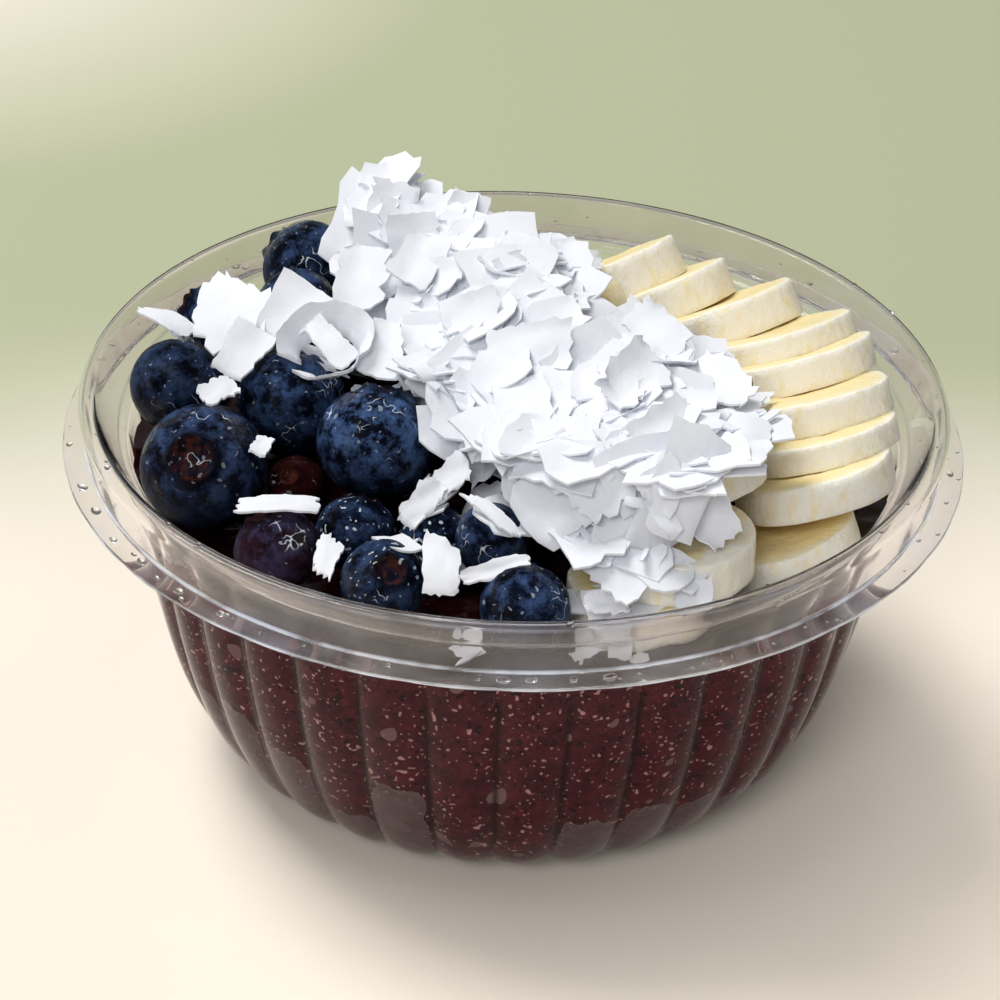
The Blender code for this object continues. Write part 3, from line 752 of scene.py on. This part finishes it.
def berrySkin(bloom, red, wrinkle, flecks):
    material, tree, shader = newMaterial(f"berrySkin{len(berrySkins) + 1}", Roughness=0.42)
    shader.inputs["Specular IOR Level"].default_value = 0.05
    shader.inputs["Coat Roughness"].default_value = 0.03
    shader.inputs["Coat IOR"].default_value = 1.40
    spot = where(tree)
    skin = mix(tree, ramp(tree, cloud(tree, spot, 4, 4.0, 0.65), (0.38, 0.0), (0.66, 1.0)),
               (0.0010 + 0.009 * red, 0.0012 + 0.001 * red, 0.0028), (0.003 + 0.028 * red, 0.006, 0.017 - 0.010 * red))
    lit = addNode(tree, "Attribute", attribute_name="lit", attribute_type="GEOMETRY").outputs["Fac"]
    eye = addNode(tree, "Attribute", attribute_name="eye", attribute_type="GEOMETRY").outputs["Fac"]
    # real bloom, faded towards the bottom of the berry as painted shade
    bloomAndShade = ramp(tree, cloud(tree, spot, 3.4, 4.0, 0.72), (0.43, 0.0), (0.62, 1.0))
    bloomAndShade = calc(tree, "MULTIPLY", calc(tree, "MULTIPLY", bloomAndShade, lit), bloom)
    bloomAndShade = calc(tree, "MULTIPLY", bloomAndShade, ramp(tree, eye, (0.10, 1.0), (0.55, 0.12)))
    skin = mix(tree, bloomAndShade, skin, (0.062 + 0.03 * red, 0.118 - 0.07 * red, 0.275 - 0.15 * red))
    scar = ramp(tree, cloud(tree, spot, 1.8, 4.0, 0.7), (0.44, 0.05), (0.62, 1.0))
    scar = calc(tree, "MULTIPLY", scar, ramp(tree, eye, (0.62, 0.0), (0.86, 1.0)))
    skin = mix(tree, scar, skin, (0.060, 0.017, 0.010))
    for size, level in ((0.8, 0.80), (1.5, 0.81)):
        level -= 0.045 * flecks
        fleck = ramp(tree, cloud(tree, spot, size, 0.0), (level, 0.0), (level + 0.02, 0.3 + 0.6 * flecks))
        skin = mix(tree, calc(tree, "MULTIPLY", fleck, lit), skin, (0.50, 0.55, 0.62))
    # painted highlight: thin pale squiggles in patches on the berry's top, painted into the skin's colour
    glint = ramp(tree, cloud(tree, spot, 2.8, 1.5), (0.487, 0.0), (0.496, 1.0), (0.504, 1.0), (0.513, 0.0))
    patch = ramp(tree, cloud(tree, spot, 7.0, 1.0), (0.60, 0.0), (0.65, 0.9))
    glint = calc(tree, "MULTIPLY", calc(tree, "MULTIPLY", glint, patch), lit)
    skin = mix(tree, glint, skin, (0.70, 0.76, 0.84))
    tree.links.new(skin, shader.inputs["Base Color"])
    facets = cloud(tree, spot, 3.2, 3.0, 0.55)
    tree.links.new(bump(tree, facets, 0.35 + 0.3 * wrinkle, 0.8), shader.inputs["Normal"])
    damp = ramp(tree, cloud(tree, spot, 6.0, 2.0), (0.53, 0.0), (0.64, 0.9))
    tree.links.new(calc(tree, "MULTIPLY", damp, lit), shader.inputs["Coat Weight"])
    wet = cloud(tree, spot, 1.5, 2.0, 0.5)
    tree.links.new(bump(tree, wet, 0.9, 0.5), shader.inputs["Coat Normal"])
    return material


# banana slices
slices = {
    "around": 60,
    "round": 0.5,          # how far the cut edge is rounded
    "swell": 0.9,          # a slice sags onto the one under it
    "torn": ("banana_slice_13",),
}


# centre, upward axis, half thickness and outline of a slice's solid
def sliceFrame(name):
    copy = nodeCopy(name)
    spots = [vert.co.copy() for vert in copy.verts]
    face = max(copy.faces, key=lambda f: f.calc_area())
    axis = face.normal.copy()
    copy.free()
    if axis.z < 0:
        axis = -axis
    centre = sum(spots, Vector()) / len(spots)
    half = max(abs((p - centre).dot(axis)) for p in spots)
    turn = turnTo(axis)
    flat = turn.to_3x3().inverted()
    outline = []
    for p in spots:
        local = flat @ (p - centre)
        if local.z > 0:
            outline.append((math.atan2(local.y, local.x) % math.tau, math.hypot(local.x, local.y)))
    return centre, turn, half, sorted(outline)


def outlineAt(outline, angle):
    angle %= math.tau
    around = outline + [(outline[0][0] + math.tau, outline[0][1])]
    around = [(outline[-1][0] - math.tau, outline[-1][1])] + around
    for (a, r), (b, s) in zip(around, around[1:]):
        if a <= angle <= b:
            t = (angle - a) / (b - a)
            t = t * t * (3 - 2 * t)
            return r + (s - r) * t
    return outline[0][1]


def makeSlice(name, number):
    centre, turn, half, outline = sliceFrame(name)
    radius = sum(r for _, r in outline) / len(outline)
    half += slices["swell"] / 2
    centre = centre - turn.to_3x3() @ up * slices["swell"] / 2
    soft = slices["round"]
    points = [(radius * k / 14, half) for k in range(13)]
    points += [(radius - soft, half), (radius - 0.45 * soft, half - 0.10 * soft), (radius - 0.12 * soft, half - 0.42 * soft)]
    for k in range(1, 6):
        points.append((radius, (half - soft * 0.6) * (1 - 2 * k / 6)))
    points += [(radius - 0.12 * soft, -half + 0.42 * soft), (radius - 0.45 * soft, -half + 0.10 * soft), (radius - soft, -half)]
    points += [(radius * k / 5, -half) for k in range(4, -1, -1)]
    bm = spinProfile(points, slices["around"])
    layer = bm.verts.layers.float_vector.new("inner")
    seed = number * 1.37
    torn = name in slices["torn"]
    for vert in bm.verts:
        x, y, z = vert.co
        angle = math.atan2(y, x)
        reach = math.hypot(x, y)
        share = reach / radius
        vert[layer] = Vector((x / radius, y / radius, z / half + number * 10))
        grow = outlineAt(outline, angle) / radius
        side = smoothStep(0.75, 1.0, share)
        wave = 0.018 * rough3((math.cos(angle) * 2, math.sin(angle) * 2, z / 6), 0.8, seed)
        wave += 0.010 * rough3((math.cos(angle) * 7, math.sin(angle) * 7, z / 3), 0.9, seed)
        if torn and math.sin(angle) < -0.3:
            wave -= 0.06 * abs(rough3((angle * 3, z, 0), 1.0, seed))
        grow += side * wave
        if z > 0.3 * half:
            sink = -0.25 * math.exp(-(share / 0.30) ** 2) + 0.22 * math.exp(-((share - 0.72) / 0.16) ** 2)
            z += sink + 0.22 * rough3((x, y, 0), 5.0, seed) + 0.10 * rough3((x, y, 0), 1.6, seed)
        vert.co = Vector((x * grow, y * grow, z))
    bmesh.ops.transform(bm, matrix=Matrix.Translation(centre) @ turn, verts=bm.verts)
    bmesh.ops.recalc_face_normals(bm, faces=bm.faces)
    settle(name.replace("_", ""), bm, bananaPale if torn else bananaFlesh, [name], smooth=55)


def bananaMaterial(name, pale):
    material, tree, shader = newMaterial(name, Roughness=0.45)
    shader.inputs["Subsurface Weight"].default_value = 0.2
    shader.inputs["Subsurface Radius"].default_value = (1.0, 0.7, 0.35)
    shader.inputs["Subsurface Scale"].default_value = 0.004
    shader.inputs["Coat Weight"].default_value = 0.2
    shader.inputs["Coat Roughness"].default_value = 0.2
    inner = addNode(tree, "Attribute", attribute_name="inner", attribute_type="GEOMETRY").outputs["Vector"]
    spot = where(tree)
    flat = addNode(tree, "VectorMath", {"Vector": inner}, operation="MULTIPLY")
    flat.inputs[1].default_value = (1, 1, 0)
    reach = addNode(tree, "VectorMath", {"Vector": flat.outputs["Vector"]}, operation="LENGTH").outputs["Value"]
    drift = calc(tree, "MULTIPLY", calc(tree, "SUBTRACT", cloud(tree, spot, 4.0, 3.0), 0.5), 0.16)
    rings = ramp(tree, calc(tree, "ADD", reach, drift),
                 (0.0, (0.82, 0.60, 0.24)), (0.16, (0.91, 0.71, 0.33)), (0.42, (0.95, 0.77, 0.38)),
                 (0.74, (0.96, 0.78, 0.38)), (0.88, (0.97, 0.84, 0.50)), (0.97, (0.98, 0.93, 0.74)))
    # pale blotches; the torn slice takes them almost all over, a lighter copy of the flesh that paints light onto a
    # slice lying in the coconut's shade
    paleBlotch = ramp(tree, cloud(tree, spot, 7.0, 4.0, 0.6), (0.36, 0.0), (0.52, 1.0))
    rings = mix(tree, calc(tree, "MULTIPLY", paleBlotch, pale), rings, (0.99, 0.955, 0.86))
    streak = cloud(tree, where(tree, (1, 1, 0.25)), 2.0, 4.0, 0.6)
    side = ramp(tree, streak, (0.32, (0.97, 0.86, 0.60)), (0.48, (0.99, 0.955, 0.85)))
    parts = addNode(tree, "SeparateXYZ", {"Vector": inner})
    edge = ramp(tree, reach, (0.955, 0.0), (0.985, 1.0))
    base = mix(tree, edge, rings, side)
    tree.links.new(base, shader.inputs["Base Color"])
    grain = cloud(tree, where(tree, (1, 1, 0.6)), 2.2, 5.0, 0.65)
    tree.links.new(bump(tree, grain, 0.8, 0.8), shader.inputs["Normal"])
    return material


def makeBananaEnd():
    bm = nodeCopy("banana_end")
    bmesh.ops.subdivide_edges(bm, edges=bm.edges, cuts=2, use_grid_fill=True)
    for _ in range(4):
        bmesh.ops.smooth_vert(bm, verts=bm.verts, factor=0.5, use_axis_x=True, use_axis_y=True, use_axis_z=True)
    middle = sum((v.co for v in bm.verts), Vector()) / len(bm.verts)
    layer = bm.verts.layers.float_vector.new("inner")
    for vert in bm.verts:
        way = vert.co - middle
        vert.co = middle + way * 1.06 * (1 + 0.02 * rough3(vert.co, 6.0))
        vert[layer] = Vector((0.84 + 0.01 * way.x, 0, 200))
    settle("bananaEnd", bm, bananaFlesh, ["banana_end"], smooth=70)


# coconut
coconut = {
    "seed": 41,
    "count": 520,
    "thick": 0.4,
    "sink": 2.0,           # how far the core lies below the heap's outline
}


# shade below 1 gives a darker copy of the coconut, used to paint shade
def coconutMaterial(name, shade=1.0):
    material, tree, shader = newMaterial(name, Roughness=0.55)
    shader.inputs["Specular IOR Level"].default_value = 0.35
    spot = where(tree)
    base = ramp(tree, cloud(tree, spot, 5.0, 4.0, 0.6),
                (0.3, (0.79 * shade, 0.82 * shade, 0.885 * shade)), (0.65, (0.845 * shade, 0.87 * shade, 0.93 * shade)))
    tree.links.new(base, shader.inputs["Base Color"])
    fibre = cloud(tree, where(tree, (1.0, 0.45, 0.8)), 1.0, 3.0, 0.65)
    tree.links.new(bump(tree, fibre, 0.35, 0.25), shader.inputs["Normal"])
    return material


# one bent, ragged shaving, given as a mesh
def flakeMesh(spot, turn, length, width, bend, draw, cells=(4, 4), crumple=1.0):
    bm = bmesh.new()
    verts = bmesh.ops.create_grid(bm, x_segments=cells[0], y_segments=cells[1], size=0.5)["verts"]
    seed = draw.uniform(0, 50)
    taper, skew = draw.uniform(-0.4, 0.4), draw.uniform(-0.3, 0.3)
    twist = draw.uniform(-0.6, 0.6) * crumple
    soft = draw.uniform(0.1, 1.3)
    torn = draw.uniform(0.5, 1.4)
    r = width / max(0.15, abs(bend))
    for vert in verts:
        u, v = vert.co.x, vert.co.y
        x = u * length * math.sqrt(1 - soft * v * v)
        y = v * width * (1 - taper * u) * math.sqrt(1 - soft * u * u) + skew * u * width
        if max(abs(u), abs(v)) > 0.49:
            x += 0.09 * torn * length * rough3((u * 3, v * 3, seed), 0.4)
            y += 0.16 * torn * width * rough3((u * 4, v * 3, seed + 7), 0.4)
        z = math.copysign(r * (1 - math.cos(bend * v)), bend)
        z += 0.07 * crumple * length * rough3((u * 1.6, v * 1.6, seed + 3), 0.7) + twist * u * v * width * 0.5
        vert.co = turn @ Vector((x, y, z)) + spot
        reach = math.hypot(vert.co.x, vert.co.y)
        wall = 65.8 + 0.45 * max(0.0, vert.co.z - 62)
        if reach > wall:
            vert.co.x *= wall / reach
            vert.co.y *= wall / reach
    bmesh.ops.solidify(bm, geom=bm.faces[:], thickness=coconut["thick"])
    bmesh.ops.recalc_face_normals(bm, faces=bm.faces)
    mesh = bpy.data.meshes.new("shaving")
    bm.to_mesh(mesh)
    bm.free()
    return mesh


def gather(bm, mesh):
    bm.from_mesh(mesh)
    bpy.data.meshes.remove(mesh)


# points spread over the outside of what lies in the bowl, each with its normal
def restSpots(tree, draw, count, low, high):
    found = []
    while len(found) < count:
        x, y = draw.uniform(low[0], high[0]), draw.uniform(low[1], high[1])
        hit = tree.ray_cast(Vector((x, y, 110)), -up)
        if hit[0]:
            found.append((hit[0], hit[1]))
    return found


# length, width and bend in millimetres, and the share of each kind
flakeKinds = {
    "petal": dict(share=0.46, length=(10, 19), width=(7, 13), bend=(-0.4, 0.9), lean=8),
    "chip": dict(share=0.34, length=(6, 10), width=(3.5, 6.5), bend=(-0.7, 1.0), lean=15),
    "sliver": dict(share=0.20, length=(4, 9), width=(0.9, 1.8), bend=(-0.4, 0.4), lean=24),
}
# patches of flakes beside the heap: middle x, y, reach x, y, number
flakePatches = [
    (14, -53, 5, 5, 16), (21, -52, 6, 5, 12), (4, -40, 5, 6, 12), (-10, -31, 5, 5, 14),
    (-15, -44, 2.5, 5, 7), (-21, -8, 5, 6, 12), (-4, -55, 4, 2.5, 6), (-36, 3, 5, 4, 6),
    (10, 40, 4, 3, 6), (-11, -18, 4, 5, 8),
]
# flakes listed one by one: one end x, y, z, the other end x, y, z, width, roll, bend in degrees
laidFlakes = [
    (-25, 31, 79, -22, 36.5, 88, 8, 0, 30), (-11.5, 27, 79, -9.5, 34.5, 87.5, 7, 0, 40),
    (-18.5, 21, 80, -19.5, 26, 87, 9, 0, 40), (0.5, 15, 78, 1, 23.5, 85, 8, 0, 60),
    (5, 34, 74.5, 15, 37, 73.5, 4.5, 0, 30), (-27, 4, 79, -28, 16, 85, 9, 0, 30),
    (-21, 12, 80, -10, 8, 84, 9, 0, 30), (-5, -12, 81, 9, -14, 83, 10, 0, 30),
    (19, 0, 83, 28, -8, 80, 8, 0, 40), (30, -10, 80, 37, -24, 79.5, 9, 0, 40),
    (34, -29, 79, 41, -27.5, 73.5, 4, 0, 20), (1, -38, 77, 14, -44, 78, 9, 0, 30),
    (11, -48, 73, 18, -42, 80, 9, 0, 30), (25, -43, 81, 33.5, -50, 69, 8, 0, 40),
    (12, -49, 69, 23, -56, 66, 12, 0, 50),
    (26, -56, 63, 32, -57, 64.5, 4, 0, 30), (12, -57, 62, 19, -57, 62.5, 4, 0, 40),
    (-17, -38, 63, -12, -34, 69, 4.5, 0, 30), (-13.5, -34, 67, -7, -32, 71, 5, 0, 30),
    (-7.5, -56, 65, 3, -53.5, 67, 3, 0, 30), (-11, -20, 74, -7, -17, 79, 6, 0, 30),
    (-24, -14, 76.5, -21, -3, 81, 7, 0, 30), (-42, -3, 77, -35.5, 4, 84, 9, 0, 40),
    (-49, -9, 73, -44, -3, 79, 7, 0, 30), (-35, -6, 82, -27.5, -13, 79, 4.5, 0, 10),
    (14, -28, 83, 24, -18, 83, 9, 0, 50), (21, -42, 81, 29, -30, 82, 9, 0, 40),
    (-13, -4, 82, -3, -4, 85, 8, 0, 30), (-40.5, -28, 72.5, -41.5, -31, 71, 3, 0, 20),
    (-47, -14, 74.5, -52, -18.5, 74, 4, 0, 20), (-20, 8, 83, -15, 19, 86, 8, 0, 30),
]


# openings between the flakes, where what lies below shows: x, y seen at a height of 70, and size
coconutGaps = [(12, 22, 7), (14, 32, 7), (-11.6, 8.1, 3.5), (9.4, 13.5, 4), (-13, -8, 6), (-34, 45, 6)]


def makeCoconut():
    draw = random.Random(coconut["seed"])
    solid = nodeTree("coconut_heap")
    rest = nodeTree(*[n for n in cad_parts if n.startswith(("coconut_heap", "banana", "berry", "acai"))])
    core = nodeCopy("coconut_heap")
    bmesh.ops.subdivide_edges(core, edges=core.edges, cuts=2, use_grid_fill=True)
    for _ in range(3):
        bmesh.ops.smooth_vert(core, verts=core.verts, factor=0.5, use_axis_x=True, use_axis_y=True, use_axis_z=True)
    core.normal_update()
    for vert in core.verts:
        vert.co -= vert.normal * (coconut["sink"] + 0.7 * rough3(vert.co, 3.0)) * (1.0 if vert.normal.z > 0 else 0.2)
    # painted shade: the core, seen in the gaps between flakes, takes a darker copy of the coconut
    settle("coconutCore", core, coconutMaterial("coconutShade", 0.85), ["coconut_heap"], smooth=50)

    low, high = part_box("coconut_heap")
    spots = restSpots(solid, draw, coconut["count"], low / mm, high / mm)
    for x, y, reachX, reachY, number in flakePatches:
        spots += restSpots(rest, draw, number, (x - reachX, y - reachY), (x + reachX, y + reachY))
    bm = bmesh.new()
    for number, (spot, normal) in enumerate(spots):
        seen = Vector((spot.x, spot.y + 1.9 * (spot.z - 70), 0))
        if any((seen - Vector((x, y, 0))).length < gap for x, y, gap in coconutGaps):
            continue
        crumbly = 2.2 if spot.x > 8 and -38 < spot.y < 2 else 1.0
        large = 1.0 if number < coconut["count"] else 0.15
        scale = {"petal": large, "chip": 1.0, "sliver": crumbly}
        shares = [k["share"] * scale[name] for name, k in flakeKinds.items()]
        kind = draw.choices(list(flakeKinds.values()), shares)[0]
        length, width, bend = (draw.uniform(*kind[key]) for key in ("length", "width", "bend"))
        lift = draw.random() ** 1.6 * kind["lean"]
        heading = Matrix.Rotation(draw.uniform(0, math.tau), 3, "Z")
        lean = Matrix.Rotation(math.radians(lift) * draw.choice((-1, 1)), 3, "Y")
        roll = Matrix.Rotation(math.radians(draw.gauss(0, 10)), 3, "X")
        front = -0.22 if normal.y < 0.1 else 0.0
        base = (normal * 0.55 + up * 0.6 + Vector((0, front, 0))).normalized().to_track_quat("Z", "Y").to_matrix()
        depth = -draw.uniform(-0.4, 1.4) + 0.32 * length * math.sin(math.radians(lift))
        cells = (5, 4) if width > 6 else (4, 3) if width > 3 else (4, 1)
        gather(bm, flakeMesh(spot + normal * depth, base @ heading @ lean @ roll, length, width, bend, draw, cells, 0.7))
    for x, y, z, farX, farY, farZ, width, roll, bend in laidFlakes:
        start, end = Vector((x, y, z)), Vector((farX, farY, farZ))
        along = (end - start).normalized()
        side = Vector((0, -0.55, 0.85)).cross(along).normalized()
        turn = Matrix((along, side, along.cross(side))).transposed() @ Matrix.Rotation(math.radians(roll), 3, "X")
        gather(bm, flakeMesh((start + end) / 2, turn, (end - start).length, width, math.radians(bend), draw,
                             (10, 8), 0.6))
    settle("coconutFlakes", bm, coconutWhite, [], smooth=62)


# x, y, z, length, width, heading, pitch, roll, bend in degrees
looseFlakes = {
    "coconut_flake_01": (-61.5, 10.5, 73.0, 10.5, 6.0, 150, 10, 10, 40),
    "coconut_flake_02": (-49.2, 2.6, 79.0, 15, 13, 80, 30, -10, 35),
    "coconut_flake_03": (-41.0, 6.0, 77.0, 10, 8, 80, 20, 20, 80),
    "coconut_flake_04": (-37.4, -42.2, 69.0, 13.5, 3.4, 5, 0, 15, 25),
    "coconut_flake_05": (-29.0, -48.5, 63.6, 6.6, 4.0, 75, 30, 0, 40),
    "coconut_flake_06": (-2.8, -46.6, 71.4, 9.4, 2.9, 140, 20, 0, 20),
    "coconut_flake_07": (-10.6, -53.0, 65.8, 10, 6, 90, 25, 0, 60),
}


def makeLooseFlake(name, number):
    x, y, z, length, width, heading, pitch, roll, bend = looseFlakes[name]
    turn = (Matrix.Rotation(math.radians(heading - 90), 3, "Z") @ Matrix.Rotation(math.radians(pitch), 3, "X")
            @ Matrix.Rotation(math.radians(roll), 3, "Y"))
    draw = random.Random(70 + number)
    bm = bmesh.new()
    gather(bm, flakeMesh(Vector((x, y, z)), turn, width, length, -math.radians(bend), draw, (9, 13), 0.7))
    settle(name.replace("_", ""), bm, coconutWhite, [name], smooth=50)


# the ring-shaped shaving, flared so that its inside shows
curl = {"radius": 6.6, "width": 5.4, "flare": 3.4, "turn": 325, "lean": (250, 22)}


def makeCurl():
    low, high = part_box("coconut_curl")
    middle = (low + high) / 2 / mm
    bm = bmesh.new()
    bmesh.ops.create_grid(bm, x_segments=5, y_segments=44, size=0.5)
    heading = Matrix.Rotation(math.radians(curl["lean"][0]), 3, "Z")
    turn = heading @ Matrix.Rotation(math.radians(curl["lean"][1]), 3, "Y") @ heading.inverted()
    for vert in bm.verts:
        u, v = vert.co.x, vert.co.y
        angle = math.radians(curl["turn"]) * v + 0.6
        wave = 0.5 * rough3((3 * math.cos(angle), 3 * math.sin(angle), u), 1.4)
        r = curl["radius"] + curl["flare"] * u + wave + 0.35 * rough3((angle * 4, u * 2, 3), 1.0)
        rise = u * curl["width"] * (0.85 + 0.3 * rough3((angle * 2.2, 5, 0), 1.0))
        if abs(u) > 0.49:
            rise += 0.35 * rough3((angle * 7, u * 9, 0), 1.0)
        vert.co = middle + turn @ Vector((r * math.cos(angle), r * math.sin(angle), rise))
    bmesh.ops.solidify(bm, geom=bm.faces[:], thickness=0.6)
    bmesh.ops.recalc_face_normals(bm, faces=bm.faces)
    settle("coconutCurl", bm, coconutWhite, ["coconut_curl"], smooth=60)


# all together
makeCamera()
makeStage()
makeLights()
makeCup()
print("acai bowl: cup made")
makeAcai()
makeSmear()
makeBeads()
print("acai bowl: acai filled in")
bananaFlesh = bananaMaterial("bananaFlesh", 0.12)
# the torn slice gets a paler copy of the flesh: painted light on a slice in the coconut's shade
bananaPale = bananaMaterial("bananaPale", 0.95)
coconutWhite = coconutMaterial("coconutWhite")
names = sorted(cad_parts)
for number, name in enumerate(n for n in names if n.startswith("berry_")):
    makeBerry(name, number)
print("acai bowl: blueberries laid in")
for number, name in enumerate(n for n in names if n.startswith("banana_slice_")):
    makeSlice(name, number)
makeBananaEnd()
print("acai bowl: banana fanned")
makeCoconut()
for number, name in enumerate(n for n in names if n.startswith("coconut_flake_")):
    makeLooseFlake(name, number)
makeCurl()
print("acai bowl: coconut scattered")
